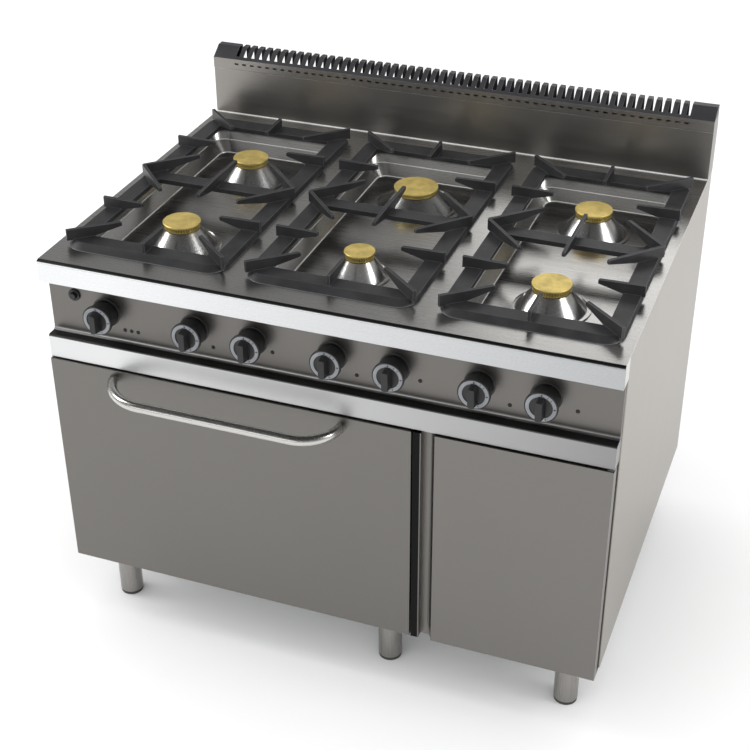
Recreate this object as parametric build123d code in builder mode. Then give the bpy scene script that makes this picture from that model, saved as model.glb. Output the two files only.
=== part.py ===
from build123d import *
import os
from math import hypot

# A six-burner catering range: a static gas oven on the left, a cupboard on the right.
# +X runs to the right along the front, +Y from the front to the back, +Z up.
# The origin lies on the floor, under the middle of the whole object's box. Millimetres.

# ---------------------------------------------------------------- driving dimensions
WIDTH = 1200.0
DEPTH = 900.0
WORKTOP_Z = 900.0
OVERALL_Z = 1060.0
HANDLE_REACH = 90.0
BODY_Z = 150.0
SHEET = 1.5
TOP_SHEET = 2.0

HALF = WIDTH / 2
FRONT = -(DEPTH - HANDLE_REACH) / 2
BACK = FRONT + DEPTH

# worktop nose and front fascia, as depths behind the nose's face
NOSE_BOTTOM_Z = 850.0
NOSE_RADIUS = 8.0
PANEL_DEPTH = 31.0
PANEL_TOP_Z = WORKTOP_Z - TOP_SHEET - 0.5
LEDGE_Z = 725.0
BAND_DEPTH = 5.0
BAND_BOTTOM_Z = 672.0
CARCASS_DEPTH = 45.0

# doors
DOOR_TOP_Z = 670.0
DOOR_THICK = 25.0
OVEN_DOOR_X = (-598.0, 200.0)
CUPBOARD_DOOR_X = (203.0, 598.0)

# three cooking modules, each with a front and a back burner
MODULE_X = (-400.0, 0.0, 400.0)
GRATE_NAMES = ("left", "middle", "right")
FRONT_BURNER_Y = FRONT + 251.0
BACK_BURNER_Y = FRONT + 600.0
WELL_FLOOR_Z = 851.0
CAP_RADII = {("front", "left"): 40.0, ("front", "middle"): 32.0, ("front", "right"): 40.0,
             ("back", "left"): 40.0, ("back", "middle"): 49.0, ("back", "right"): 40.0}
CONE_BASE_RADII = {40.0: 71.0, 32.0: 56.0, 49.0: 85.0}
CAP_TOPS = {40.0: 906.0, 32.0: 906.0, 49.0: 896.5}
CAP_HEIGHTS = {40.0: 14.5, 32.0: 14.5, 49.0: 12.0}

# controls
KNOB_Z = 788.0
KNOB_X = (-470.0, -271.0, -143.0, 26.0, 155.0, 325.0, 454.0)
MARK_X = (-430.0, -415.0, -400.0, -231.0, -101.0, 77.0, 207.0, 385.0, 515.0)
MARK_Z = (754.0, 754.0, 754.0, 754.0, 769.0, 754.0, 769.0, 754.0, 769.0)
IGNITER_X = -540.0
IGNITER_Z = 816.0
KNOB_PUSH = 4.0

# gas
PIPE_RADIUS = 10.65
PIPE_BORE = 8.0
MANIFOLD_Y = FRONT + 95.0
SUPPLY_X = 560.0
INLET_Z = 230.0
THREAD_RADIUS = 10.48
SHAFT_RADIUS = 4.0
SHAFT_FLAT = 1.2

# oven
CAVITY_X = (-520.0, 120.0)
CAVITY_Z = (212.0, 600.0)
CAVITY_FRONT = FRONT + 47.0
CAVITY_BACK = FRONT + 760.0
OVEN_MOUTH_Z = 250.0
WOOL = 28.0
BURNER_TUBE_Z = 232.0
BURNER_CROSS_Y = FRONT + 120.0

# splashback, as depths behind the nose's face
SPLASH_DEPTH = 840.0
LIP_Z = 1012.0
VENT_BASE_Z = 1038.0
SLOT_PITCH = 20.0
SLOT_COUNT = 55
SLOT_WIDTH = 9.0
VENT_BACK = 889.0

# legs
LEG_X = (-521.0, 126.0, 526.0)
LEG_Y = (FRONT + 89.0, BACK - 89.0)
LEG_RADIUS = 26.0
LEG_WALL = 2.0
FOOT_NAMES = ("front_left", "front_middle", "front_right", "back_left", "back_middle", "back_right")

# hinges
OVEN_HINGE_Y = FRONT + 22.0
OVEN_HINGE_Z = 165.0
OVEN_HINGES = ((-573.0, 1), (175.0, -1))
CUPBOARD_HINGE_X = 590.0
CUPBOARD_HINGE_Y = FRONT + 10.0
PIN_RADIUS = 4.0
PIN_CLEARANCE = 0.06

os.makedirs("parts", exist_ok=True)


def save(piece, name):
    """Label a finished piece and write it as its own file."""
    piece.label = name
    export_step(piece, f"parts/{name}.step")


def at_front(points):
    """Turn (depth behind the nose, height) pairs into places on the YZ plane."""
    return [(FRONT + depth, z) for depth, z in points]


def folded_outline(points, radii, thickness, side=Side.LEFT):
    """The closed outline of a sheet folded along the line through the points."""
    with BuildSketch() as outline:
        with BuildLine():
            FilletPolyline(*points, radius=radii)
            offset(amount=thickness, side=side)
        make_face()
    return outline.sketch


def side_plane(x):
    """A plane that looks along +X, with Y across and Z up."""
    return Plane.YZ.offset(x)


# ---------------------------------------------------------------- worktop
def tapered_well(x, grow, drop):
    """The solid between a well's mouth and its floor, grown outwards and downwards."""
    levels = ((WORKTOP_Z, 324.0, 100.0, 750.0, 40.0),
              (877.0, 304.0, 112.0, 737.0, 32.0),
              (WELL_FLOOR_Z, 262.0, 132.0, 722.0, 22.0))
    with BuildPart() as solid:
        for z, well_width, near, far, radius in levels:
            level_z = z if z == WORKTOP_Z else z - drop
            with BuildSketch(Plane.XY.offset(level_z)):
                with Locations((x, FRONT + (near + far) / 2)):
                    RectangleRounded(well_width + 2 * grow, far - near + 2 * grow, radius + grow)
        loft(ruled=True)
    return solid.part


def burner_places():
    """Every burner's name, centre and cap radius."""
    for row, y in (("front", FRONT_BURNER_Y), ("back", BACK_BURNER_Y)):
        for column, x in zip(GRATE_NAMES, MODULE_X):
            yield f"{row}_{column}", x, y, CAP_RADII[(row, column)]


def cap_bottom(cap_radius):
    """The height at which a burner's cap rests on its body."""
    return CAP_TOPS[cap_radius] - CAP_HEIGHTS[cap_radius]


def build_worktop():
    end_cap_depth = 45.0
    neck_hole_radius = 24.0
    probe_hole_radius = 4.0
    ring_gap = 3.0
    ring_width = 6.0
    ring_height = 2.5
    flue_length = 1100.0
    flue_width = 36.0
    profile = folded_outline(
        at_front([(29.0, NOSE_BOTTOM_Z), (0.0, NOSE_BOTTOM_Z), (0.0, WORKTOP_Z), (898.0, WORKTOP_Z)]),
        [2.5, NOSE_RADIUS], TOP_SHEET, Side.RIGHT)
    outer_wells = [tapered_well(x, 2.2, TOP_SHEET) for x in MODULE_X]
    inner_wells = [tapered_well(x, 0.0, 0.0) for x in MODULE_X]
    with BuildPart() as worktop:
        with BuildSketch(side_plane(-HALF)):
            add(profile)
        extrude(amount=WIDTH)
        for end_x in (-HALF, HALF - TOP_SHEET):
            with BuildSketch(side_plane(end_x)):
                with BuildLine():
                    FilletPolyline(*at_front([(end_cap_depth, NOSE_BOTTOM_Z), (0.0, NOSE_BOTTOM_Z),
                                              (0.0, WORKTOP_Z), (end_cap_depth, WORKTOP_Z)]),
                                   radius=[2.5, NOSE_RADIUS])
                    Line((FRONT + end_cap_depth, WORKTOP_Z), (FRONT + end_cap_depth, NOSE_BOTTOM_Z))
                make_face()
            extrude(amount=TOP_SHEET)
        for well in outer_wells:
            add(well)
        for well in inner_wells:
            add(well, mode=Mode.SUBTRACT)
        # an embossed ring round each burner's collar, and the holes for its neck and its probe
        for _, x, y, cap_radius in burner_places():
            base_radius = CONE_BASE_RADII[cap_radius]
            with BuildSketch(Plane.XY.offset(WELL_FLOOR_Z)):
                with Locations((x, y)):
                    Circle(base_radius + ring_gap + ring_width)
                    Circle(base_radius + ring_gap, mode=Mode.SUBTRACT)
            extrude(amount=ring_height)
            with BuildSketch(Plane.XY.offset(WELL_FLOOR_Z)):
                with Locations((x, y)):
                    Circle(neck_hole_radius)
                with Locations((x - 0.8 * cap_radius, y)):
                    Circle(probe_hole_radius)
            extrude(amount=-2 * TOP_SHEET, mode=Mode.SUBTRACT)
        with BuildSketch(Plane.XY.offset(WORKTOP_Z)):
            with Locations((0, FRONT + 870.0)):
                Rectangle(flue_length, flue_width)
        extrude(amount=-2 * TOP_SHEET, mode=Mode.SUBTRACT)
    save(worktop.part, "worktop")


# ---------------------------------------------------------------- fascia and casing
def build_control_panel():
    end_inset = 2.0
    end_depth = 43.0
    tap_hole_radius = 10.0
    mark_radius = 2.5
    barrel_hole_radius = 10.2
    fold = at_front([(PANEL_DEPTH, PANEL_TOP_Z), (PANEL_DEPTH, LEDGE_Z), (BAND_DEPTH, LEDGE_Z),
                     (BAND_DEPTH, BAND_BOTTOM_Z), (29.0, BAND_BOTTOM_Z)])
    profile = folded_outline(fold, [8.0, 5.0, 2.0], SHEET)
    half_length = HALF - end_inset
    with BuildPart() as panel:
        with BuildSketch(side_plane(-half_length)):
            add(profile)
        extrude(amount=2 * half_length)
        for end_x in (-half_length, half_length - SHEET):
            with BuildSketch(side_plane(end_x)):
                with BuildLine():
                    FilletPolyline(*fold[:4], radius=[8.0, 5.0])
                    Polyline(fold[3], (FRONT + end_depth, BAND_BOTTOM_Z),
                             (FRONT + end_depth, PANEL_TOP_Z), fold[0])
                make_face()
            extrude(amount=SHEET)
        with BuildSketch(Plane.XZ.offset(-(FRONT + PANEL_DEPTH - 1))):
            with Locations(*[(x, KNOB_Z) for x in KNOB_X]):
                Circle(tap_hole_radius)
            with Locations(*zip(MARK_X, MARK_Z)):
                Circle(mark_radius)
            with Locations((IGNITER_X, IGNITER_Z)):
                Circle(barrel_hole_radius)
        extrude(amount=-5.0, mode=Mode.SUBTRACT)
    save(panel.part, "control_panel")


def build_side_panels():
    bottom_z = 147.0
    flange = 25.0
    bend = 2.0
    profile = folded_outline([(HALF - flange, FRONT + CARCASS_DEPTH), (HALF, FRONT + CARCASS_DEPTH),
                              (HALF, BACK - SHEET), (HALF - flange, BACK - SHEET)],
                             bend, SHEET, Side.LEFT)
    with BuildPart() as right:
        with BuildSketch(Plane.XY.offset(bottom_z)):
            add(profile)
        extrude(amount=WORKTOP_Z - TOP_SHEET - bottom_z)
    save(right.part, "side_panel_right")
    left = mirror(right.part, about=Plane.YZ)
    save(left, "side_panel_left")


def build_back_panel():
    louvre = (180.0, 6.0)
    inlet_clearance_radius = 24.0
    top_z = 895.0
    bottom_z = 160.0
    middle_z = (top_z + bottom_z) / 2
    with BuildPart() as panel:
        with BuildSketch(Plane.XZ.offset(-(BACK - 4.5))):
            with Locations((0, middle_z)):
                Rectangle(2 * (HALF - SHEET - 1.5), top_z - bottom_z)
            with Locations((-330, 760), (0, 760), (330, 760)):
                with GridLocations(0, 16, 1, 6):
                    SlotOverall(*louvre, mode=Mode.SUBTRACT)
            with Locations((SUPPLY_X, INLET_Z)):
                Circle(inlet_clearance_radius, mode=Mode.SUBTRACT)
        extrude(amount=-SHEET)
    save(panel.part, "back_panel")


def build_base_frame():
    near = FRONT + 50.0
    far = BACK - 10.0
    frame_height = 40.0
    rail = 40.0
    wall = 2.0
    frame_width = 2 * (HALF - SHEET - 1.5)
    frame_length = far - near
    middle_y = (near + far) / 2
    beam_x = 165.0
    with BuildPart() as frame:
        with BuildSketch(Plane.XY.offset(BODY_Z)):
            with Locations((0, middle_y)):
                Rectangle(frame_width, frame_length)
                Rectangle(frame_width - 2 * rail, frame_length - 2 * rail, mode=Mode.SUBTRACT)
        extrude(amount=frame_height)
        # hollow the rails into channels that open inwards
        with BuildSketch(Plane.XY.offset(BODY_Z + wall)):
            with Locations((0, middle_y)):
                Rectangle(frame_width - 2 * wall, frame_length - 2 * wall)
        extrude(amount=frame_height - 2 * wall, mode=Mode.SUBTRACT)
        # the beam under the wall between oven and cupboard, and the floor pan on top
        beam = folded_outline([(beam_x, BODY_Z + frame_height), (beam_x, BODY_Z + wall),
                               (beam_x + rail, BODY_Z + wall), (beam_x + rail, BODY_Z + frame_height)],
                              3.0, wall, Side.LEFT)
        with BuildSketch(Plane.XZ.offset(-near)):
            add(beam)
        extrude(amount=-frame_length)
        with BuildSketch(Plane.XY.offset(BODY_Z + frame_height - wall)):
            with Locations((0, middle_y)):
                Rectangle(frame_width - 2 * wall, frame_length - 2 * wall)
        extrude(amount=SHEET)
    save(frame.part, "base_frame")


def build_divider_panel():
    floor_z = 190.0
    ceiling_z = 700.0
    wall_x = 202.0
    near = FRONT + 50.0
    far = FRONT + 830.0
    profile = folded_outline([(wall_x, floor_z), (wall_x, ceiling_z), (HALF - 3.0, ceiling_z)],
                             3.0, SHEET, Side.RIGHT)
    with BuildPart() as divider:
        with BuildSketch(Plane.XZ.offset(-near)):
            add(profile)
        extrude(amount=-(far - near))
    save(divider.part, "divider_panel")


# ---------------------------------------------------------------- splashback and vent
def build_splashback():
    lip_hole = (10.0, 4.0)
    lip_hole_z = 1027.0
    lip_proud = 2.0
    outer = [(SPLASH_DEPTH, WORKTOP_Z), (SPLASH_DEPTH, LIP_Z - 1),
             (SPLASH_DEPTH - lip_proud, LIP_Z + 1), (SPLASH_DEPTH - lip_proud, VENT_BASE_Z)]
    inner = [(depth + SHEET, z) for depth, z in reversed(outer)]
    with BuildPart() as splash:
        with BuildSketch(side_plane(-HALF)):
            with BuildLine():
                Polyline(*at_front(outer + inner), close=True)
            make_face()
        extrude(amount=WIDTH)
        for end_x in (-HALF, HALF - SHEET):
            with BuildSketch(side_plane(end_x)):
                with BuildLine():
                    Polyline(*at_front(outer + [(VENT_BACK, VENT_BASE_Z), (DEPTH, LIP_Z),
                                                (DEPTH, WORKTOP_Z)]), close=True)
                make_face()
            extrude(amount=SHEET)
        with BuildSketch(Plane.XZ.offset(-BACK)):
            with Locations((0, (WORKTOP_Z + LIP_Z) / 2)):
                Rectangle(WIDTH, LIP_Z - WORKTOP_Z)
        extrude(amount=SHEET)
        with BuildSketch(Plane.XZ.offset(-(FRONT + SPLASH_DEPTH - 5))):
            with Locations((0, lip_hole_z)):
                with GridLocations(SLOT_PITCH, 0, SLOT_COUNT, 1):
                    Rectangle(*lip_hole)
        extrude(amount=-10.0, mode=Mode.SUBTRACT)
    save(splash.part, "splashback")


def build_vent_cap():
    """A folded hood: sloping front, narrow top and upright back, slotted right through."""
    front_edge = (SPLASH_DEPTH - 2, VENT_BASE_Z)
    slope_top = (870.0, OVERALL_Z)
    front_root_z = 1042.5
    back_root_z = 1021.0
    flange_half = HALF - SHEET - 0.5
    profile = folded_outline(
        at_front([front_edge, slope_top, (VENT_BACK, OVERALL_Z), (VENT_BACK, VENT_BASE_Z)]),
        [1.5, 1.5], SHEET, Side.RIGHT)
    with BuildPart() as cap:
        with BuildSketch(side_plane(-HALF)):
            add(profile)
        extrude(amount=WIDTH)
        for end_x in (-HALF, HALF - SHEET):
            with BuildSketch(side_plane(end_x)):
                with BuildLine():
                    Polyline(*at_front([front_edge, slope_top, (VENT_BACK, OVERALL_Z),
                                        (VENT_BACK, VENT_BASE_Z)]), close=True)
                make_face()
            extrude(amount=SHEET)
        # the slope's foot rests flat on the splashback's lip
        with BuildSketch(Plane.XY.offset(VENT_BASE_Z)):
            with Locations((0, FRONT + SPLASH_DEPTH)):
                Rectangle(WIDTH, 10.0)
        extrude(amount=-5.0, mode=Mode.SUBTRACT)
        # the back hangs down between the splashback's ends
        with BuildSketch(Plane.XZ.offset(-(FRONT + VENT_BACK))):
            with Locations((0, (LIP_Z + VENT_BASE_Z) / 2)):
                Rectangle(2 * flange_half, VENT_BASE_Z - LIP_Z)
        extrude(amount=SHEET)
        for root_z, near, far in ((front_root_z, SPLASH_DEPTH - 10, VENT_BACK - 5),
                                  (back_root_z, VENT_BACK - 5, VENT_BACK + 5)):
            with BuildSketch(Plane.XZ.offset(-(FRONT + near))):
                with Locations((0, (root_z + OVERALL_Z + 5) / 2)):
                    with GridLocations(SLOT_PITCH, 0, SLOT_COUNT, 1):
                        Rectangle(SLOT_WIDTH, OVERALL_Z + 5 - root_z)
            extrude(amount=near - far, mode=Mode.SUBTRACT)
    save(cap.part, "vent_cap")


# ---------------------------------------------------------------- oven
def centred_box(x_pair, y_pair, z_pair, mode=Mode.ADD):
    """A box between two limits on each axis, inside the current part."""
    with BuildSketch(Plane.XY.offset(z_pair[0]), mode=Mode.PRIVATE) as base:
        with Locations(((x_pair[0] + x_pair[1]) / 2, (y_pair[0] + y_pair[1]) / 2)):
            Rectangle(x_pair[1] - x_pair[0], y_pair[1] - y_pair[0])
    extrude(base.sketch, amount=z_pair[1] - z_pair[0], mode=mode)


def build_oven_liner():
    corner = 12.0
    wall = TOP_SHEET
    middle_x = sum(CAVITY_X) / 2
    middle_z = sum(CAVITY_Z) / 2
    cavity_width = CAVITY_X[1] - CAVITY_X[0]
    cavity_height = CAVITY_Z[1] - CAVITY_Z[0]
    runner_levels = (330.0, 407.0, 484.0)
    runner = (12.0, 3.0)
    duct_x = (middle_x - 60.0, middle_x + 60.0)
    duct_y = (FRONT + 850.0, FRONT + 888.0)
    duct_z = (555.0, 600.0)
    burner_hole_radius = 13.0
    with BuildPart() as liner:
        with BuildSketch(Plane.XZ.offset(-CAVITY_FRONT)):
            with Locations((middle_x, middle_z)):
                RectangleRounded(cavity_width + 2 * wall, cavity_height + 2 * wall, corner + wall)
        extrude(amount=-(CAVITY_BACK + wall - CAVITY_FRONT))
        # the flue leaves through the back wall and climbs behind the worktop's wells
        centred_box(duct_x, (CAVITY_BACK, duct_y[1]), duct_z)
        centred_box(duct_x, duct_y, (duct_z[0], WORKTOP_Z - TOP_SHEET - 1))
        with BuildSketch(Plane.XZ.offset(-CAVITY_FRONT)):
            with Locations((middle_x, middle_z)):
                RectangleRounded(cavity_width, cavity_height, corner)
        extrude(amount=-(CAVITY_BACK - CAVITY_FRONT), mode=Mode.SUBTRACT)
        inner_duct_x = (duct_x[0] + SHEET, duct_x[1] - SHEET)
        centred_box(inner_duct_x, (CAVITY_BACK - 5, duct_y[1] - SHEET),
                    (duct_z[0] + SHEET, duct_z[1] - SHEET), mode=Mode.SUBTRACT)
        centred_box(inner_duct_x, (duct_y[0] + SHEET, duct_y[1] - SHEET),
                    (duct_z[0] + SHEET, WORKTOP_Z), mode=Mode.SUBTRACT)
        # pressed runners carry the rack at three levels
        for level in runner_levels:
            for wall_x, inward in ((CAVITY_X[0], 1), (CAVITY_X[1], -1)):
                edge = sorted((wall_x, wall_x + inward * runner[0]))
                centred_box(edge, (CAVITY_FRONT + 25, CAVITY_BACK - 40), (level, level + runner[1]))
        with BuildSketch(side_plane(CAVITY_X[0] - 10)):
            with Locations((BURNER_CROSS_Y, BURNER_TUBE_Z)):
                Circle(burner_hole_radius)
        extrude(amount=20.0, mode=Mode.SUBTRACT)
    save(liner.part, "oven_liner")


def build_oven_front_frame():
    x_pair = (-574.5, 199.5)
    z_pair = (190.0, 671.0)
    mouth_x = (-518.0, 118.0)
    mouth_z = (OVEN_MOUTH_Z, 598.0)
    with BuildPart() as frame:
        with BuildSketch(Plane.XZ.offset(-(FRONT + CARCASS_DEPTH))):
            with Locations((sum(x_pair) / 2, sum(z_pair) / 2)):
                Rectangle(x_pair[1] - x_pair[0], z_pair[1] - z_pair[0])
            with Locations((sum(mouth_x) / 2, sum(mouth_z) / 2)):
                RectangleRounded(mouth_x[1] - mouth_x[0], mouth_z[1] - mouth_z[0], 12.0,
                                 mode=Mode.SUBTRACT)
        extrude(amount=-TOP_SHEET)
    save(frame.part, "oven_front_frame")


def build_oven_floor_plate():
    plate_x = (-508.0, 108.0)
    plate_z = 254.0
    foot_z = CAVITY_Z[0] + 0.2
    y_pair = (CAVITY_FRONT + 12, CAVITY_BACK - 12)
    slot = (60.0, 12.0)
    profile = folded_outline([(plate_x[0], foot_z), (plate_x[0], plate_z),
                              (plate_x[1], plate_z), (plate_x[1], foot_z)], 4.0, 3.0, Side.RIGHT)
    with BuildPart() as plate:
        with BuildSketch(Plane.XZ.offset(-y_pair[0])):
            add(profile)
        extrude(amount=-(y_pair[1] - y_pair[0]))
        with BuildSketch(Plane.XY.offset(plate_z)):
            with Locations((plate_x[0] + 30, sum(y_pair) / 2), (plate_x[1] - 30, sum(y_pair) / 2)):
                with GridLocations(0, 100, 1, 6):
                    SlotOverall(*slot, rotation=90)
        extrude(amount=-6.0, mode=Mode.SUBTRACT)
        with BuildSketch(side_plane(plate_x[0] - 5)):
            with Locations((BURNER_CROSS_Y, BURNER_TUBE_Z)):
                Circle(13.0)
        extrude(amount=15.0, mode=Mode.SUBTRACT)
    save(plate.part, "oven_floor_plate")


def build_oven_burner():
    tube_radius = 12.0
    bore = 10.5
    inlet_x = CAVITY_X[0] - 40
    arms_x = (-330.0, -70.0)
    arm_far = CAVITY_BACK - 60
    port_pitch = 20.0
    ports = 26
    with BuildPart() as burner:
        with BuildSketch(side_plane(inlet_x)):
            with Locations((BURNER_CROSS_Y, BURNER_TUBE_Z)):
                Circle(tube_radius)
        extrude(amount=arms_x[1] - inlet_x)
        for arm_x in arms_x:
            with BuildSketch(Plane.XZ.offset(-BURNER_CROSS_Y)):
                with Locations((arm_x, BURNER_TUBE_Z)):
                    Circle(tube_radius)
            extrude(amount=-(arm_far - BURNER_CROSS_Y))
        with BuildSketch(side_plane(inlet_x)):
            with Locations((BURNER_CROSS_Y, BURNER_TUBE_Z)):
                Circle(bore)
        extrude(amount=arms_x[1] - inlet_x, mode=Mode.SUBTRACT)
        for arm_x in arms_x:
            with BuildSketch(Plane.XZ.offset(-BURNER_CROSS_Y)):
                with Locations((arm_x, BURNER_TUBE_Z)):
                    Circle(bore)
            extrude(amount=-(arm_far - SHEET - BURNER_CROSS_Y), mode=Mode.SUBTRACT)
            with BuildSketch(Plane.XY.offset(BURNER_TUBE_Z)):
                with Locations((arm_x, (BURNER_CROSS_Y + arm_far) / 2)):
                    with GridLocations(0, port_pitch, 1, ports):
                        SlotOverall(8.0, 3.0)
            extrude(amount=tube_radius + 1, mode=Mode.SUBTRACT)
    save(burner.part, "oven_burner")


def build_oven_insulation():
    gap = 0.2
    near = FRONT + 60.0
    far = CAVITY_BACK + TOP_SHEET + WOOL
    wool_bottom = 190.3
    outer_x = (CAVITY_X[0] - TOP_SHEET - WOOL, CAVITY_X[1] + TOP_SHEET + WOOL)
    inner_x = (CAVITY_X[0] - TOP_SHEET - gap, CAVITY_X[1] + TOP_SHEET + gap)
    inner_z = (CAVITY_Z[0] - TOP_SHEET - gap, CAVITY_Z[1] + TOP_SHEET + gap)
    middle_x = sum(CAVITY_X) / 2
    with BuildPart() as wool:
        centred_box(outer_x, (near, far), (wool_bottom, CAVITY_Z[1] + TOP_SHEET + WOOL))
        centred_box(inner_x, (near - 5, CAVITY_BACK + TOP_SHEET + gap), inner_z, mode=Mode.SUBTRACT)
        centred_box((middle_x - 61, middle_x + 61), (CAVITY_BACK - 5, far + 5), (554.0, 601.0),
                    mode=Mode.SUBTRACT)
        with BuildSketch(side_plane(outer_x[0] - 5)):
            with Locations((BURNER_CROSS_Y, BURNER_TUBE_Z)):
                Circle(13.0)
        extrude(amount=WOOL + 10, mode=Mode.SUBTRACT)
    save(wool.part, "oven_insulation")


def build_oven_rack():
    frame_radius = 3.5
    wire_radius = 2.0
    rack_z = 413.7
    x_pair = (CAVITY_X[0] + 6.0, CAVITY_X[1] - 6.0)
    y_pair = (CAVITY_FRONT + 20, CAVITY_BACK - 15)
    wires = 20
    with BuildPart() as rack:
        for x in x_pair:
            with BuildSketch(Plane.XZ.offset(-y_pair[0])):
                with Locations((x, rack_z)):
                    Circle(frame_radius)
            extrude(amount=-(y_pair[1] - y_pair[0]))
        for y in (y_pair[0] + frame_radius, sum(y_pair) / 2, y_pair[1] - frame_radius):
            with BuildSketch(side_plane(x_pair[0])):
                with Locations((y, rack_z)):
                    Circle(frame_radius)
            extrude(amount=x_pair[1] - x_pair[0])
        with BuildSketch(Plane.XZ.offset(-(y_pair[0] + frame_radius))):
            with Locations((sum(x_pair) / 2, rack_z + 1.0)):
                with GridLocations((x_pair[1] - x_pair[0]) / (wires + 1), 0, wires, 1):
                    Circle(wire_radius)
        extrude(amount=-(y_pair[1] - y_pair[0] - 2 * frame_radius))
    save(rack.part, "oven_rack")


def build_oven_door_seal():
    mouth_width = 660.0
    mouth_height = 372.0
    strip = 10.0
    thickness = 5.0
    middle = (sum(CAVITY_X) / 2, (OVEN_MOUTH_Z + 598.0) / 2)
    with BuildPart() as seal:
        with BuildSketch(Plane.XZ.offset(-(FRONT + CARCASS_DEPTH - thickness))):
            with Locations(middle):
                RectangleRounded(mouth_width + 2 * strip, mouth_height + 2 * strip, 24.0)
                RectangleRounded(mouth_width, mouth_height, 14.0, mode=Mode.SUBTRACT)
        extrude(amount=-thickness)
    save(seal.part, "oven_door_seal")


# ---------------------------------------------------------------- doors
def build_oven_door():
    bottom_z = BODY_Z
    x_left, x_right = OVEN_DOOR_X
    plug_x = (-546.0, 146.0)
    plug_z = (226.0, 624.0)
    plug_back = FRONT + 39.0
    notch_depth = (10.0, 27.0)
    notch_width = 29.0
    lug_width = 12.0
    lug_half = 9.0
    with BuildPart() as outer:
        centred_box((x_left, x_right), (FRONT, FRONT + DOOR_THICK), (bottom_z, DOOR_TOP_Z))
        front_rim = outer.edges().filter_by(Axis.X).group_by(Axis.Y)[0]
        front_sides = outer.edges().filter_by(Axis.Z).group_by(Axis.Y)[0]
        fillet(front_rim + front_sides, radius=1.4)
        centred_box((x_left + SHEET, x_right - SHEET), (FRONT + SHEET, FRONT + DOOR_THICK + 1),
                    (bottom_z + SHEET, DOOR_TOP_Z - SHEET), mode=Mode.SUBTRACT)
        # notches in the bottom edge let the hinge brackets pass as the door drops
        for hinge_x, inward in OVEN_HINGES:
            notch_x = sorted((hinge_x - 8 * inward, hinge_x + (notch_width - 8) * inward))
            centred_box(notch_x, (FRONT + notch_depth[0], FRONT + notch_depth[1]),
                        (bottom_z - 1, bottom_z + 5), mode=Mode.SUBTRACT)
    save(outer.part, "oven_door_outer")

    with BuildPart() as inner:
        back_face = FRONT + DOOR_THICK
        centred_box((x_left + 2, x_right - 2), (back_face + 0.1, back_face + 0.1 + SHEET),
                    (bottom_z + 3, DOOR_TOP_Z - 3))
        centred_box(plug_x, (back_face + SHEET, plug_back), plug_z)
        rear_rim = inner.edges().filter_by(Axis.Y).filter_by(
            lambda e: plug_x[0] - 1 < e.center().X < plug_x[1] + 1 and plug_z[0] - 1 < e.center().Z)
        fillet(rear_rim.group_by(SortBy.LENGTH)[-1], radius=12.0)
        centred_box((plug_x[0] + SHEET, plug_x[1] - SHEET), (back_face - 1, plug_back - SHEET),
                    (plug_z[0] + SHEET, plug_z[1] - SHEET), mode=Mode.SUBTRACT)
        for hinge_x, inward in OVEN_HINGES:
            notch_x = sorted((hinge_x - 8 * inward, hinge_x + (notch_width - 8) * inward))
            centred_box(notch_x, (back_face - 2, back_face + 5), (bottom_z, bottom_z + 37),
                        mode=Mode.SUBTRACT)
            # the hinge lug turns on the bracket's pin
            lug_x = sorted((hinge_x + 5 * inward, hinge_x + (5 + lug_width) * inward))
            centred_box(lug_x, (OVEN_HINGE_Y - lug_half, back_face - 0.3),
                        (OVEN_HINGE_Z - lug_half, OVEN_HINGE_Z + 40))
            centred_box(lug_x, (back_face - 0.4, back_face + 0.2),
                        (OVEN_HINGE_Z + 24, OVEN_HINGE_Z + 40))
            with BuildSketch(side_plane(lug_x[0] - 1)):
                with Locations((OVEN_HINGE_Y, OVEN_HINGE_Z)):
                    Circle(PIN_RADIUS + PIN_CLEARANCE)
            extrude(amount=lug_width + 2, mode=Mode.SUBTRACT)
    save(inner.part, "oven_door_inner")


def build_oven_door_handle():
    tube_radius = 10.5
    tube_wall = 1.5
    handle_z = 650.0
    reach = HANDLE_REACH - tube_radius
    foot_x = (-450.0, 55.0)
    straight_x = (-351.0, -23.0)
    bar_y = FRONT - reach
    sink = 4.0
    with BuildPart() as handle:
        with BuildLine(Plane.XY.offset(handle_z)) as path:
            middle = Line((straight_x[0], bar_y), (straight_x[1], bar_y))
            TangentArc(middle @ 1, (foot_x[1] + 0.9, FRONT + sink), tangent=middle % 1)
            TangentArc(middle @ 0, (foot_x[0] - 0.9, FRONT + sink), tangent=(middle % 0) * -1)
        route = path.wires()[0]
        with BuildSketch(Plane(origin=route @ 0, z_dir=route % 0)):
            Circle(tube_radius)
            Circle(tube_radius - tube_wall, mode=Mode.SUBTRACT)
        sweep(path=route)
        # both ends are cut flush with the door's face
        split(bisect_by=Plane.XZ.offset(-FRONT), keep=Keep.TOP)
    save(handle.part, "oven_door_handle")


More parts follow.
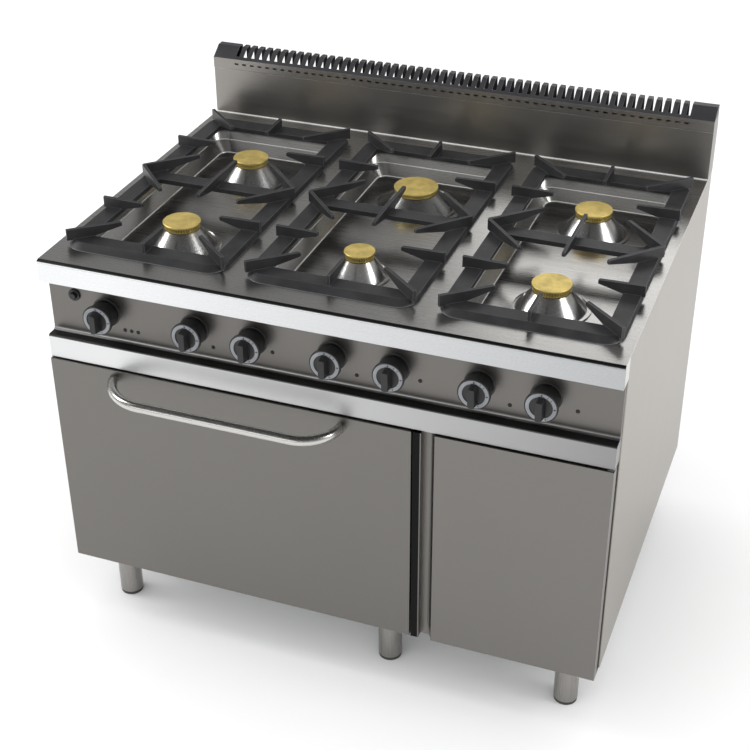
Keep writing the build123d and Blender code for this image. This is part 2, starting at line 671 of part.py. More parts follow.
def build_cupboard_door():
    bottom_z = BODY_Z
    x_left, x_right = CUPBOARD_DOOR_X
    lip = 17.0
    groove_width = 28.0
    groove_depth = 17.0
    ramp = 14.0
    cap_height = DOOR_TOP_Z - bottom_z

    def skin_face(inset):
        """The door's plan: lip, finger groove with a curved far side, then the flat face."""
        near = FRONT + inset
        floor_y = FRONT + groove_depth + inset
        groove_x = x_left + lip - inset
        ramp_x = x_left + lip + groove_width - ramp
        with BuildSketch() as face:
            with BuildLine():
                Polyline((x_left + inset, FRONT + DOOR_THICK + inset), (x_left + inset, near),
                         (groove_x, near), (groove_x, floor_y), (ramp_x, floor_y))
                Spline((ramp_x, floor_y), (x_left + lip + groove_width + inset, near),
                       tangents=((1, 0), (0.55, -1)))
                Polyline((x_left + lip + groove_width + inset, near), (x_right - inset, near),
                         (x_right - inset, FRONT + DOOR_THICK + inset),
                         (x_left + inset, FRONT + DOOR_THICK + inset))
            make_face()
        return face.sketch

    outer_face = skin_face(0.0)
    inner_face = skin_face(SHEET)
    with BuildPart() as outer:
        with BuildSketch(Plane.XY.offset(bottom_z)):
            add(outer_face)
        extrude(amount=cap_height)
        with BuildSketch(Plane.XY.offset(bottom_z + SHEET)):
            add(inner_face)
        extrude(amount=cap_height - 2 * SHEET, mode=Mode.SUBTRACT)
        with BuildSketch(Plane.XY.offset(bottom_z)):
            with Locations((CUPBOARD_HINGE_X, CUPBOARD_HINGE_Y)):
                Circle(PIN_RADIUS + PIN_CLEARANCE)
        extrude(amount=cap_height, mode=Mode.SUBTRACT)
    save(outer.part, "cabinet_door_outer")

    with BuildPart() as inner:
        back_face = FRONT + DOOR_THICK
        centred_box((x_left + 2, x_right - 4), (back_face + 0.1, back_face + 0.1 + SHEET),
                    (bottom_z + 3, DOOR_TOP_Z - 3))
        stiffener_x = (x_left + 120, x_right - 70)
        centred_box(stiffener_x, (back_face + SHEET, back_face + 8), (bottom_z + 80, DOOR_TOP_Z - 80))
        centred_box((stiffener_x[0] + SHEET, stiffener_x[1] - SHEET),
                    (back_face - 1, back_face + 8 - SHEET),
                    (bottom_z + 80 + SHEET, DOOR_TOP_Z - 80 - SHEET), mode=Mode.SUBTRACT)
    save(inner.part, "cabinet_door_inner")


def build_hinge_brackets():
    plate = 3.0
    bracket_half = 9.0
    pin_length = 16.0
    washer_radius = 7.0
    upper_pin = (640.0, BAND_BOTTOM_Z - 0.2)
    lower_plate_z = (146.5, 149.6)
    pin_top = 166.0
    frame_face = FRONT + 50.0
    with BuildPart() as brackets:
        for hinge_x, inward in OVEN_HINGES:
            with BuildSketch(side_plane(hinge_x)):
                with Locations((OVEN_HINGE_Y, OVEN_HINGE_Z)):
                    Circle(bracket_half)
                with Locations(((OVEN_HINGE_Y + frame_face) / 2, OVEN_HINGE_Z)):
                    Rectangle(frame_face - OVEN_HINGE_Y, 2 * bracket_half)
            extrude(amount=plate * inward)
            with BuildSketch(side_plane(hinge_x + plate * inward)):
                with Locations((OVEN_HINGE_Y, OVEN_HINGE_Z)):
                    Circle(PIN_RADIUS)
            extrude(amount=pin_length * inward)
        # the cupboard door's top pin hangs from the fascia, its bottom pin stands on a plate
        with BuildSketch(Plane.XY.offset(upper_pin[0])):
            with Locations((CUPBOARD_HINGE_X, CUPBOARD_HINGE_Y)):
                Circle(PIN_RADIUS)
        extrude(amount=upper_pin[1] - upper_pin[0])
        with BuildSketch(Plane.XY.offset(DOOR_TOP_Z + 0.4)):
            with Locations((CUPBOARD_HINGE_X, CUPBOARD_HINGE_Y)):
                Circle(washer_radius)
        extrude(amount=1.4)
        centred_box((CUPBOARD_HINGE_X - 28, CUPBOARD_HINGE_X + 8),
                    (CUPBOARD_HINGE_Y - 7, FRONT + 44), lower_plate_z)
        centred_box((CUPBOARD_HINGE_X - 28, CUPBOARD_HINGE_X - 16),
                    (FRONT + 40, FRONT + 90), (lower_plate_z[0], BODY_Z))
        with BuildSketch(Plane.XY.offset(lower_plate_z[1])):
            with Locations((CUPBOARD_HINGE_X, CUPBOARD_HINGE_Y)):
                Circle(PIN_RADIUS)
        extrude(amount=pin_top - lower_plate_z[1])
    save(brackets.part, "hinge_brackets")


# ---------------------------------------------------------------- legs
def build_legs():
    tube_bottom = 9.0
    plate_z = 146.0
    with BuildPart() as legs:
        leg_places = [(x, y) for y in LEG_Y for x in LEG_X]
        with BuildSketch(Plane.XY.offset(tube_bottom)):
            with Locations(*leg_places):
                Circle(LEG_RADIUS)
                Circle(LEG_RADIUS - LEG_WALL, mode=Mode.SUBTRACT)
        extrude(amount=plate_z - tube_bottom)
        with BuildSketch(Plane.XY.offset(plate_z)):
            with Locations(*leg_places):
                Circle(LEG_RADIUS + 8)
        extrude(amount=BODY_Z - plate_z)
    save(legs.part, "legs")


def build_feet():
    pad_height = 8.6
    plug_radius = LEG_RADIUS - LEG_WALL - 0.3
    plug_top = 75.0
    with BuildPart() as foot:
        with BuildSketch():
            Circle(LEG_RADIUS - 0.8)
        extrude(amount=pad_height)
        chamfer(foot.edges().sort_by(Axis.Z)[0], length=1.5)
        with BuildSketch(Plane.XY.offset(pad_height)):
            Circle(plug_radius)
        extrude(amount=plug_top - pad_height)
        with BuildSketch(Plane.XY.offset(plug_top)):
            Circle(plug_radius - 4)
        extrude(amount=-(plug_top - pad_height), mode=Mode.SUBTRACT)
    places = [(x, y) for y in LEG_Y for x in LEG_X]
    for name, place in zip(FOOT_NAMES, places):
        save(Pos(place[0], place[1], 0) * foot.part, f"foot_{name}")


# ---------------------------------------------------------------- hob burners
def build_burner_cones():
    base_z = WELL_FLOOR_Z + 0.1
    slope_wall = 2.2
    slot = (16.0, 4.0)
    slot_z = 872.0
    with BuildPart() as cones:
        for _, x, y, cap_radius in burner_places():
            base_radius = CONE_BASE_RADII[cap_radius]
            top_radius = cap_radius - 2.0
            top_z = cap_bottom(cap_radius) - 1.5
            axis_plane = Plane(origin=(x, y, 0), x_dir=(1, 0, 0), z_dir=(0, -1, 0))
            with BuildSketch(axis_plane):
                with BuildLine():
                    Polyline((base_radius, base_z), (top_radius, top_z),
                             (top_radius - slope_wall, top_z), (base_radius - slope_wall, base_z),
                             close=True)
                make_face()
            revolve(axis=Axis((x, y, 0), (0, 0, 1)))
        # a slot in each collar's flank lights the burner from the pilot
        for _, x, y, cap_radius in burner_places():
            with BuildSketch(side_plane(x - CONE_BASE_RADII[cap_radius])):
                with Locations((y, slot_z)):
                    SlotOverall(*slot)
            extrude(amount=CONE_BASE_RADII[cap_radius] * 0.8, mode=Mode.SUBTRACT)
    save(cones.part, "burner_cones")


def build_burner_bodies():
    neck_radius = 20.0
    neck_bore = 15.5
    neck_bottom = 776.0
    flange_height = 5.5
    window = (14.0, 10.0)
    window_z = 790.0
    with BuildPart() as bodies:
        for _, x, y, cap_radius in burner_places():
            flange_top = cap_bottom(cap_radius) - 0.3
            with BuildSketch(Plane.XY.offset(neck_bottom)):
                with Locations((x, y)):
                    Circle(neck_radius)
            extrude(amount=flange_top - flange_height - neck_bottom)
            with BuildSketch(Plane.XY.offset(flange_top - flange_height)):
                with Locations((x, y)):
                    Circle(cap_radius - 5)
            extrude(amount=flange_height)
            with BuildSketch(Plane.XY.offset(neck_bottom + 6)):
                with Locations((x, y)):
                    Circle(neck_bore)
            extrude(amount=flange_top - neck_bottom, mode=Mode.SUBTRACT)
            with BuildSketch(Plane.XZ.offset(-(y - 30))):
                with Locations((x, window_z)):
                    Rectangle(*window)
            extrude(amount=-60.0, mode=Mode.SUBTRACT)
    save(bodies.part, "burner_bodies")


def build_thermocouples():
    rod_radius = 2.5
    rod_bottom = 815.0
    with BuildPart() as rods:
        for _, x, y, cap_radius in burner_places():
            with BuildSketch(Plane.XY.offset(rod_bottom)):
                with Locations((x - 0.8 * cap_radius, y)):
                    Circle(rod_radius)
            extrude(amount=cap_bottom(cap_radius) - 9.5 - rod_bottom)
    save(rods.part, "thermocouples")


def build_burner_caps():
    """Each brass cap has a thin rim over a ring of flame ports, and a spigot in the neck."""
    rim_thickness = 4.5
    port_ring_inset = 2.5
    port_width = 2.2
    floor = 2.0
    spigot_radius = 15.2
    spigot_length = 9.5
    crown_wall = 7.0
    for name, x, y, cap_radius in burner_places():
        port_count = 2 * round(cap_radius * 0.55)
        ring_radius = cap_radius - port_ring_inset
        bottom_z = cap_bottom(cap_radius)
        rim_z = CAP_TOPS[cap_radius] - rim_thickness
        with BuildPart() as cap:
            with BuildSketch(Plane.XY.offset(rim_z)):
                with Locations((x, y)):
                    Circle(cap_radius)
            extrude(amount=rim_thickness)
            chamfer(cap.edges().group_by(Axis.Z)[-1], length=1.0)
            with BuildSketch(Plane.XY.offset(bottom_z)):
                with Locations((x, y)):
                    Circle(ring_radius)
            extrude(amount=rim_z - bottom_z)
            with BuildSketch(Plane.XY.offset(bottom_z - spigot_length)):
                with Locations((x, y)):
                    Circle(spigot_radius)
            extrude(amount=spigot_length)
            # the gas chamber under the crown, open through the spigot
            with BuildSketch(Plane.XY.offset(bottom_z + floor)):
                with Locations((x, y)):
                    Circle(ring_radius - crown_wall)
            extrude(amount=rim_z - bottom_z - floor, mode=Mode.SUBTRACT)
            with BuildSketch(Plane.XY.offset(bottom_z - spigot_length)):
                with Locations((x, y)):
                    Circle(spigot_radius - 3)
            extrude(amount=spigot_length + floor + 1, mode=Mode.SUBTRACT)
            with BuildSketch(Plane.XY.offset(bottom_z + floor)):
                with Locations((x, y)):
                    with PolarLocations(ring_radius - crown_wall / 2, port_count):
                        Rectangle(crown_wall + 4, port_width)
            extrude(amount=rim_z - bottom_z - floor - 1.5, mode=Mode.SUBTRACT)
        save(cap.part, f"burner_cap_{name}")


# ---------------------------------------------------------------- grates
def finger_solid(root, tip, over_frame):
    """A tapering upright plate from its root on the frame to its free tip."""
    top_root = 933.0
    top_tip = 931.0
    tip_bottom = 922.5
    seat_z = 909.0
    thickness = 7.0
    length = hypot(tip[0] - root[0], tip[1] - root[1])
    along = Vector(tip[0] - root[0], tip[1] - root[1], 0).normalized()
    plane = Plane(origin=(root[0], root[1], 0), x_dir=along, z_dir=along.cross(Vector(0, 0, 1)))
    with BuildPart() as finger:
        with BuildSketch(plane):
            with BuildLine():
                Polyline((0, seat_z), (0, top_root), (length - 2, top_tip), (length, top_tip - 2),
                         (length, tip_bottom), (over_frame, seat_z), close=True)
            make_face()
        extrude(amount=thickness / 2, both=True)
    return finger.part


def build_grates():
    """Cast frames, each with a crossbar and eighteen pan-support fingers."""
    foot_z = WORKTOP_Z + 0.2
    bar_top = 911.0
    outer_bottom = (178.0, 63.0, 791.0, 42.0)
    outer_top = (175.0, 80.0, 778.0, 38.0)
    window_half = 140.0
    front_window = (116.0, 412.0)
    back_window = (448.0, 735.0)
    window_radius = 10.0
    mid = 427.0
    diagonal_near = 82.0
    middle_near = 82.0
    # each finger is (root, tip, length over the frame)
    for name, x in zip(GRATE_NAMES, MODULE_X):
        paths = []
        for side in (-1, 1):
            for depth in (FRONT_BURNER_Y - FRONT, BACK_BURNER_Y - FRONT):
                paths.append(((side * 182.0, depth), (side * 90.0, depth), 42.0))
            for tip_depth in (332.0, 2 * mid - 332.0):
                paths.append(((side * 181.0, mid), (side * 90.0, tip_depth), 52.0))
            for flip in (1, -1):
                root_depth = mid + flip * (diagonal_near - mid)
                tip_depth = mid + flip * (159.0 - mid)
                paths.append(((side * 176.0, root_depth), (side * 90.0, tip_depth), 50.0))
        for flip in (1, -1):
            paths.append(((0.0, mid + flip * (middle_near - mid)),
                          (0.0, mid + flip * (163.0 - mid)), 34.0))
            paths.append(((0.0, mid), (0.0, mid + flip * 95.0), 21.0))
        fingers = [finger_solid((x + root[0], FRONT + root[1]), (x + tip[0], FRONT + tip[1]), over)
                   for root, tip, over in paths]
        with BuildPart() as grate:
            for z, limits in ((foot_z, outer_bottom), (bar_top, outer_top)):
                half_width, near, far, radius = limits
                with BuildSketch(Plane.XY.offset(z)):
                    with Locations((x, FRONT + (near + far) / 2)):
                        RectangleRounded(2 * half_width, far - near, radius)
            loft(ruled=True)
            for near, far in (front_window, back_window):
                with BuildSketch(Plane.XY.offset(foot_z - 1)):
                    with Locations((x, FRONT + (near + far) / 2)):
                        RectangleRounded(2 * window_half, far - near, window_radius)
                extrude(amount=bar_top - foot_z + 2, mode=Mode.SUBTRACT)
            for finger in fingers:
                add(finger)
        save(grate.part, f"grate_{name}")


# ---------------------------------------------------------------- controls
def build_knobs():
    """A knob is drawn at the origin with its axis along Y, its face towards -Y."""
    skirt_near = 6.0
    face = 40.0
    skirt_radius = 29.0
    rim_radius = 32.5
    rim_thickness = 6.0
    skirt_wall = 3.0
    hub_radius = 8.5
    grip_height = 19.0
    grip_width = 17.0
    grip_length = 47.0
    dish_radius = 22.5
    bore_end = 36.0
    with BuildPart() as knob:
        with BuildSketch(Plane.XZ.offset(skirt_near)):
            Circle(skirt_radius)
        extrude(amount=face - rim_thickness - skirt_near)
        with BuildSketch(Plane.XZ.offset(face - rim_thickness)):
            Circle(rim_radius)
        extrude(amount=rim_thickness)
        fillet(knob.edges().filter_by(GeomType.CIRCLE).group_by(Axis.Y)[0], radius=1.5)
        with BuildSketch(Plane.XZ.offset(face)):
            Circle(dish_radius)
        extrude(amount=-1.2, mode=Mode.SUBTRACT)
        # the hollow behind the face, round the hub
        with BuildSketch(Plane.XZ.offset(skirt_near)):
            Circle(skirt_radius - skirt_wall)
            Circle(hub_radius, mode=Mode.SUBTRACT)
        extrude(amount=face - 4 - skirt_near, mode=Mode.SUBTRACT)
        with BuildSketch(Plane.XZ.offset(face - 1.5)):
            RectangleRounded(grip_width, grip_length, 5.0)
        with BuildSketch(Plane.XZ.offset(face + grip_height)):
            RectangleRounded(grip_width - 4.0, grip_length - 6.0, 4.5)
        loft()
        fillet(knob.faces().sort_by(Axis.Y)[0].edges(), radius=1.5)
        # the bore fits the spindle's shaft and its flat
        with BuildSketch(Plane.XZ.offset(skirt_near)):
            Circle(SHAFT_RADIUS + PIN_CLEARANCE)
            with Locations((0, SHAFT_RADIUS + 5 - SHAFT_FLAT + PIN_CLEARANCE)):
                Rectangle(20, 10, mode=Mode.SUBTRACT)
        extrude(amount=bore_end - skirt_near, mode=Mode.SUBTRACT)
    for number, x in enumerate(KNOB_X, start=1):
        save(Pos(x, FRONT + PANEL_DEPTH, KNOB_Z) * knob.part, f"knob_{number}")


def build_spindles():
    """A tap's plug with its shaft, drawn at the origin with its axis along Y."""
    tip = 30.0
    plug_radius = 8.0
    plug_near = 21.0
    plug_far = 43.0
    with BuildPart() as spindle:
        with BuildSketch(Plane.XZ.offset(-plug_near)):
            Circle(SHAFT_RADIUS)
        extrude(amount=plug_near + tip)
        chamfer(spindle.edges().sort_by(Axis.Y)[0], length=0.6)
        with BuildSketch(Plane.XZ.offset(-plug_near)):
            Circle(plug_radius)
        extrude(amount=-(plug_far - plug_near))
        with BuildSketch(Plane.XZ.offset(tip)):
            with Locations((0, SHAFT_RADIUS + 5 - SHAFT_FLAT)):
                Rectangle(20, 10)
        extrude(amount=-(tip - 0.5), mode=Mode.SUBTRACT)
    for number, x in enumerate(KNOB_X, start=1):
        save(Pos(x, FRONT + PANEL_DEPTH, KNOB_Z) * spindle.part, f"tap_spindle_{number}")


def build_tap_bodies():
    body_near = 13.0
    body_far = MANIFOLD_Y - PIPE_RADIUS - 0.3 - (FRONT + PANEL_DEPTH)
    body_radius = 13.0
    outlet_radius = 6.5
    outlet_depth = 34.0
    with BuildPart() as tap:
        with BuildSketch(Plane.XZ.offset(-body_near)):
            Circle(body_radius)
        extrude(amount=-(body_far - body_near))
        with BuildSketch(Plane.XY.offset(-22.0)):
            with Locations((0, outlet_depth)):
                Circle(outlet_radius)
        extrude(amount=12.0)
        with BuildSketch(Plane.XZ.offset(-body_near)):
            Circle(4.5)
        extrude(amount=-10.0, mode=Mode.SUBTRACT)
        with BuildSketch(Plane.XZ.offset(-20.5)):
            Circle(8.0 + PIN_CLEARANCE)
        extrude(amount=-23.0, mode=Mode.SUBTRACT)
    taps = [Pos(x, FRONT + PANEL_DEPTH, KNOB_Z) * tap.part for x in KNOB_X]
    save(Compound(children=taps), "tap_bodies")


def build_igniter():
    flange_radius = 13.0
    barrel_radius = 10.0
    button_radius = 7.5
    barrel_length = 45.0
    plane_y = FRONT + PANEL_DEPTH
    with BuildPart() as body:
        with BuildSketch(Plane.XZ.offset(-plane_y + 0.2)):
            with Locations((IGNITER_X, IGNITER_Z)):
                Circle(flange_radius)
        extrude(amount=4.0)
        fillet(body.edges().filter_by(GeomType.CIRCLE).sort_by(Axis.Y)[0], radius=1.2)
        with BuildSketch(Plane.XZ.offset(-plane_y + 0.2)):
            with Locations((IGNITER_X, IGNITER_Z)):
                Circle(barrel_radius)
        extrude(amount=-barrel_length)
        with BuildSketch(Plane.XZ.offset(-plane_y + 5)):
            with Locations((IGNITER_X, IGNITER_Z)):
                Circle(button_radius + 0.08)
        extrude(amount=-35.0, mode=Mode.SUBTRACT)
    save(body.part, "igniter_body")
    with BuildPart() as button:
        with BuildSketch(Plane.XZ.offset(-plane_y + 11)):
            with Locations((IGNITER_X, IGNITER_Z)):
                Circle(button_radius)
        extrude(amount=-33.0)
        fillet(button.edges().filter_by(GeomType.CIRCLE).sort_by(Axis.Y)[0], radius=2.0)
    save(button.part, "igniter_button")


# ---------------------------------------------------------------- gas pipes
def build_gas_manifold():
    run_left = -560.0
    nut_radius = 16.0
    nut_y = (FRONT + 866.0, FRONT + 876.0)
    inlet_end = BACK - 1.0
    drop_y = FRONT + SPLASH_DEPTH + 18.0
    route = [(run_left, MANIFOLD_Y, KNOB_Z), (SUPPLY_X, MANIFOLD_Y, KNOB_Z),
             (SUPPLY_X, drop_y, KNOB_Z), (SUPPLY_X, drop_y, INLET_Z), (SUPPLY_X, inlet_end, INLET_Z)]
    with BuildPart() as manifold:
        with BuildLine() as path:
            FilletPolyline(*route, radius=[30.0, 30.0, 16.0])
        with BuildSketch(Plane(origin=path.line @ 0, z_dir=path.line % 0)):
            Circle(PIPE_RADIUS)
            Circle(PIPE_BORE, mode=Mode.SUBTRACT)
        sweep(path=path.line)
        with BuildSketch(side_plane(run_left)):
            with Locations((MANIFOLD_Y, KNOB_Z)):
                Circle(PIPE_BORE + 1)
        extrude(amount=3.0)
    with BuildPart() as nipple:
        with BuildSketch(Plane.XZ.offset(-nut_y[1])):
            with Locations((SUPPLY_X, INLET_Z)):
                Circle(PIPE_RADIUS + 2)
                Circle(THREAD_RADIUS, mode=Mode.SUBTRACT)
        extrude(amount=-(inlet_end + 1 - nut_y[1]))
    with BuildPart() as supply:
        add(manifold.part)
        with BuildSketch(Plane.XZ.offset(-nut_y[0])):
            with Locations((SUPPLY_X, INLET_Z)):
                RegularPolygon(nut_radius, 6)
                Circle(PIPE_BORE + 0.5, mode=Mode.SUBTRACT)
        extrude(amount=-(nut_y[1] - nut_y[0]))
        add(nipple.part, mode=Mode.SUBTRACT)
    save(supply.part, "gas_manifold")


def build_burner_gas_pipes():
    radius = 4.0
    bend = 15.0
    tap_y = FRONT + PANEL_DEPTH + 34.0
    start_z = KNOB_Z - 22.5
    injector_z = 775.7
    front_level = 750.0
    back_level = 728.0
    routes = []
    for module_x, back_knob, front_knob in zip(MODULE_X, KNOB_X[1::2], KNOB_X[2::2]):
        for knob_x, burner_y, level in ((back_knob, BACK_BURNER_Y, back_level),
                                        (front_knob, FRONT_BURNER_Y, front_level)):
            routes.append(([(knob_x, tap_y, start_z), (knob_x, tap_y, level), (knob_x, burner_y, level),
                            (module_x, burner_y, level), (module_x, burner_y, injector_z)], bend / 2))
    side_x = -578.0
    oven_y = BURNER_CROSS_Y
    routes.append(([(KNOB_X[0], tap_y, start_z), (KNOB_X[0], tap_y, front_level - 10),
                    (side_x, tap_y, front_level - 10), (side_x, tap_y, BURNER_TUBE_Z),
                    (side_x, oven_y, BURNER_TUBE_Z), (side_x + 16, oven_y, BURNER_TUBE_Z)], bend / 2))
    pipes = []
    for points, turn in routes:
        with BuildPart() as pipe:
            with BuildLine() as path:
                FilletPolyline(*points, radius=turn)
            with BuildSketch(Plane(origin=path.line @ 0, z_dir=path.line % 0)):
                Circle(radius)
            sweep(path=path.line)
        pipes.append(pipe.part)
    save(Compound(children=pipes), "burner_gas_pipes")


build_worktop()
build_control_panel()
build_side_panels()
build_back_panel()
build_base_frame()
build_divider_panel()
build_splashback()
build_vent_cap()
build_oven_liner()
build_oven_front_frame()
build_oven_floor_plate()
build_oven_burner()
build_oven_insulation()
build_oven_rack()
build_oven_door_seal()
build_oven_door()
build_oven_door_handle()
build_cupboard_door()
build_hinge_brackets()
build_legs()
build_feet()
build_burner_cones()
build_burner_bodies()
build_thermocouples()
build_burner_caps()
build_grates()
build_knobs()
build_spindles()
build_tap_bodies()
build_igniter()
build_gas_manifold()
build_burner_gas_pipes()
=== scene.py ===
import bpy
import math
from mathutils import Matrix, Vector


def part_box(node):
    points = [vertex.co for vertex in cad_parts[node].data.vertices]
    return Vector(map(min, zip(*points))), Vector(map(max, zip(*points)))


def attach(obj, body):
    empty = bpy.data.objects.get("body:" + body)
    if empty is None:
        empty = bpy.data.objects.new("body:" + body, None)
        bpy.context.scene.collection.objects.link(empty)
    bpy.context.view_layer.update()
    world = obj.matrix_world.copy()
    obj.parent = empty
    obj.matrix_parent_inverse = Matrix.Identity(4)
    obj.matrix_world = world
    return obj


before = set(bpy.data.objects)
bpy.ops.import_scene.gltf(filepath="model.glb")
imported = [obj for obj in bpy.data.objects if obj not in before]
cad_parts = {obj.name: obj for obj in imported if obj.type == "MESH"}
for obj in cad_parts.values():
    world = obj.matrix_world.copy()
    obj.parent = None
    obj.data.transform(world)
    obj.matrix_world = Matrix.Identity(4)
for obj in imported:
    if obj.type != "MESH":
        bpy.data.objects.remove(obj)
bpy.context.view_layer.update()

# ------------------------------------------------------------------ folds of the sheet, in metres
PANEL_BEHIND_BAND = 0.026
LEDGE_OVER_BAND = 0.053
LEDGE_ROUND = 0.004
LEDGE_TOP = 0.0006
PANEL_FILLET = 0.005
NOSE_FACE = 0.0012
NOSE_ROUND = 0.0075
LIP_PROUD = 0.002
STEP_OVER_WORKTOP = 0.112
DOOR_CHANNEL = 0.015
# a painted-light zone (a painted reflection, highlight or shade on one fold) starts this far outside its
# sheet, and fades in over ZONE_FADE on either side
ZONE_MARGIN = 0.01
ZONE_FADE = 0.0004
# a zone's two end colours meet between these x, so a painted reflection fades from its left tone to its
# right tone
TONE_LEFT, TONE_RIGHT = -0.45, 0.60
KNOB_COUNT = 7

# ------------------------------------------------------------------ places, from the frame
COLUMNS = ("left", "middle", "right")
ROWS = ("front", "back")
KNOB_BOXES = [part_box(f"knob_{number}") for number in range(1, KNOB_COUNT + 1)]
WORKTOP_LOW, WORKTOP_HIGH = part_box("worktop")
FRONT_Y = WORKTOP_LOW.y
WORKTOP_Z = WORKTOP_HIGH.z
FASCIA_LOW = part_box("control_panel")[0]
PANEL_Y = FASCIA_LOW.y + PANEL_BEHIND_BAND
LEDGE_Z = FASCIA_LOW.z + LEDGE_OVER_BAND
SPLASH_LOW, SPLASH_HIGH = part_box("splashback")
SPLASH_FACE = SPLASH_LOW.y + LIP_PROUD
STEP_Z = SPLASH_LOW.z + STEP_OVER_WORKTOP
DOOR_EDGE_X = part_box("cabinet_door_outer")[0].x

# ------------------------------------------------------------------ places given one by one, in metres
WELL_X = (-0.400, 0.0, 0.400)
# each fold of a well, where a tube paints its highlight line: height, half width, near and far depths
# behind the nose, corner radius
WELL_BENDS = ((WORKTOP_Z - 0.0002, 0.162, 0.100, 0.750, 0.040), (0.877, 0.152, 0.112, 0.737, 0.032),
              (0.8512, 0.131, 0.132, 0.722, 0.022))
# near-black plugs in the fascia's spare holes, standing in for the shade inside each hole, as (x, z)
HOLE_SHADE_PLUGS = ((-0.430, 0.754), (-0.415, 0.754), (-0.400, 0.754), (-0.231, 0.754), (-0.101, 0.769),
         (0.077, 0.754), (0.207, 0.769), (0.385, 0.754), (0.515, 0.769))


# ------------------------------------------------------------------ node helpers
class Shader:
    """A small wrapper for building one procedural material."""

    def __init__(self, name, base, metallic, roughness):
        self.material = bpy.data.materials.new(name)
        self.material.use_nodes = True
        self.tree = self.material.node_tree
        self.bsdf = self.tree.nodes["Principled BSDF"]
        self.bsdf.inputs["Base Color"].default_value = (*base, 1.0)
        self.bsdf.inputs["Metallic"].default_value = metallic
        self.bsdf.inputs["Roughness"].default_value = roughness
        self.place = self.add("ShaderNodeTexCoord").outputs["Object"]

    def add(self, kind, **values):
        node = self.tree.nodes.new(kind)
        for key, value in values.items():
            setattr(node, key, value)
        return node

    def link(self, output, target):
        self.tree.links.new(output, target)

    def stretched(self, scale):
        mapping = self.add("ShaderNodeMapping")
        mapping.inputs["Scale"].default_value = scale
        self.link(self.place, mapping.inputs["Vector"])
        return mapping.outputs["Vector"]

    def noise(self, scale, detail=3.0, stretch=(1, 1, 1), roughness=0.55):
        node = self.add("ShaderNodeTexNoise")
        node.inputs["Scale"].default_value = scale
        node.inputs["Detail"].default_value = detail
        node.inputs["Roughness"].default_value = roughness
        self.link(self.stretched(stretch), node.inputs["Vector"])
        return node.outputs["Fac"]

    def spread(self, value, low, high, from_low=0.3, from_high=0.7):
        node = self.add("ShaderNodeMapRange")
        node.inputs["From Min"].default_value = from_low
        node.inputs["From Max"].default_value = from_high
        node.inputs["To Min"].default_value = low
        node.inputs["To Max"].default_value = high
        self.link(value, node.inputs["Value"])
        return node.outputs["Result"]

    def mix(self, factor, first, second):
        node = self.add("ShaderNodeMix", data_type="RGBA")
        for socket, value in ((node.inputs[6], first), (node.inputs[7], second)):
            if isinstance(value, (tuple, list)):
                socket.default_value = (*value, 1.0)
            else:
                self.link(value, socket)
        self.link(factor, node.inputs[0])
        return node.outputs[2]

    def multiply(self, first, second):
        node = self.add("ShaderNodeMath", operation="MULTIPLY")
        self.link(first, node.inputs[0])
        if isinstance(second, (int, float)):
            node.inputs[1].default_value = second
        else:
            self.link(second, node.inputs[1])
        return node.outputs[0]

    def axis(self, letter):
        node = self.add("ShaderNodeSeparateXYZ")
        self.link(self.place, node.inputs[0])
        return node.outputs[letter]

    def edges(self, radius=0.0015, samples=4):
        """Near 1 along sharp edges and 0 on open faces."""
        bevel = self.add("ShaderNodeBevel", samples=samples)
        bevel.inputs["Radius"].default_value = radius
        geometry = self.add("ShaderNodeNewGeometry")
        dot = self.add("ShaderNodeVectorMath", operation="DOT_PRODUCT")
        self.link(bevel.outputs["Normal"], dot.inputs[0])
        self.link(geometry.outputs["Normal"], dot.inputs[1])
        return self.spread(dot.outputs["Value"], 1.0, 0.0, 0.80, 0.99)

    def bump(self, height, strength, distance):
        node = self.add("ShaderNodeBump")
        node.inputs["Strength"].default_value = strength
        node.inputs["Distance"].default_value = distance
        self.link(height, node.inputs["Height"])
        self.link(node.outputs["Normal"], self.bsdf.inputs["Normal"])

    def colour(self, value):
        self.link(value, self.bsdf.inputs["Base Color"])

    def rough(self, value):
        self.link(value, self.bsdf.inputs["Roughness"])


def tint(base, factor):
    return tuple(min(1.0, painted_channel_shade * factor) for painted_channel_shade in base)


def brushed_steel(name, base, grain, roughness=0.32, contrast=0.10, painted_light_zones=()):
    """Satin steel with long brushed streaks; grain is the stretch that sets their direction.

    Each zone is (axis, low, high, colour at the left end, colour at the right end) and paints
    light or shade into the colour of one folded face of the sheet: a painted reflection, highlight or
    shade.
    """
    s = Shader(name, base, 1.0, roughness)
    streaks = s.noise(1.0, 4.0, grain, 0.7)
    clouds = s.noise(2.2, 2.0)
    tone = s.mix(s.spread(streaks, 0, 1), tint(base, 1 - contrast), tint(base, 1 + contrast))
    smudges_and_painted_light = s.mix(s.spread(clouds, 0.0, 0.10, 0.45, 0.75), tone, tint(base, 0.75))
    # each zone paints its fold's reflection, highlight or shade over the steel's own streaks and smudges
    for letter, low, high, left, right in painted_light_zones:
        across = s.spread(s.axis("X"), 0, 1, TONE_LEFT, TONE_RIGHT)
        above = s.spread(s.axis(letter), 0, 1, low - ZONE_FADE, low + ZONE_FADE)
        below = s.spread(s.axis(letter), 1, 0, high - ZONE_FADE, high + ZONE_FADE)
        smudges_and_painted_light = s.mix(s.multiply(above, below), smudges_and_painted_light, s.mix(across, left, right))
    s.colour(smudges_and_painted_light)
    s.rough(s.spread(streaks, roughness - 0.05, roughness + 0.07))
    s.bump(streaks, 0.08, 0.0001)
    return s.material


ALONG_X = (4, 1500, 1500)
ALONG_Z = (1500, 1500, 4)


